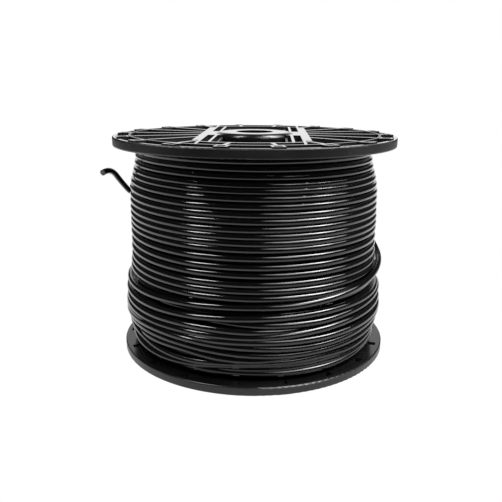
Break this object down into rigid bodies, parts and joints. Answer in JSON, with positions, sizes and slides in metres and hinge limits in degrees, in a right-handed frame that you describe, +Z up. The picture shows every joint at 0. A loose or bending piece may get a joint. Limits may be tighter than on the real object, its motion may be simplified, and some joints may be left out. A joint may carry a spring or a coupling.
{
  "type": "spool of building wire",
  "caption": "Upright plastic spool wound with insulated building wire, with ribbed and slotted flanges, a central arbor hole and a free wire end.",
  "frame": {"origin": "centre of the face that the spool stands on", "axes": "+Z up along the spool's axis, -Y towards the picture's camera"},
  "size_m": [0.2787, 0.2666, 0.2139],
  "materials": {
    "spool_plastic": "moulded black plastic, satin",
    "wire_jacket": "smooth glossy black jacket"
  },
  "bodies": {
    "root": {"spool_half_bottom": "spool_plastic", "spool_half_top": "spool_plastic", "wire_winding": "wire_jacket", "wire_free_end": "wire_jacket"}
  },
  "joints": []
}
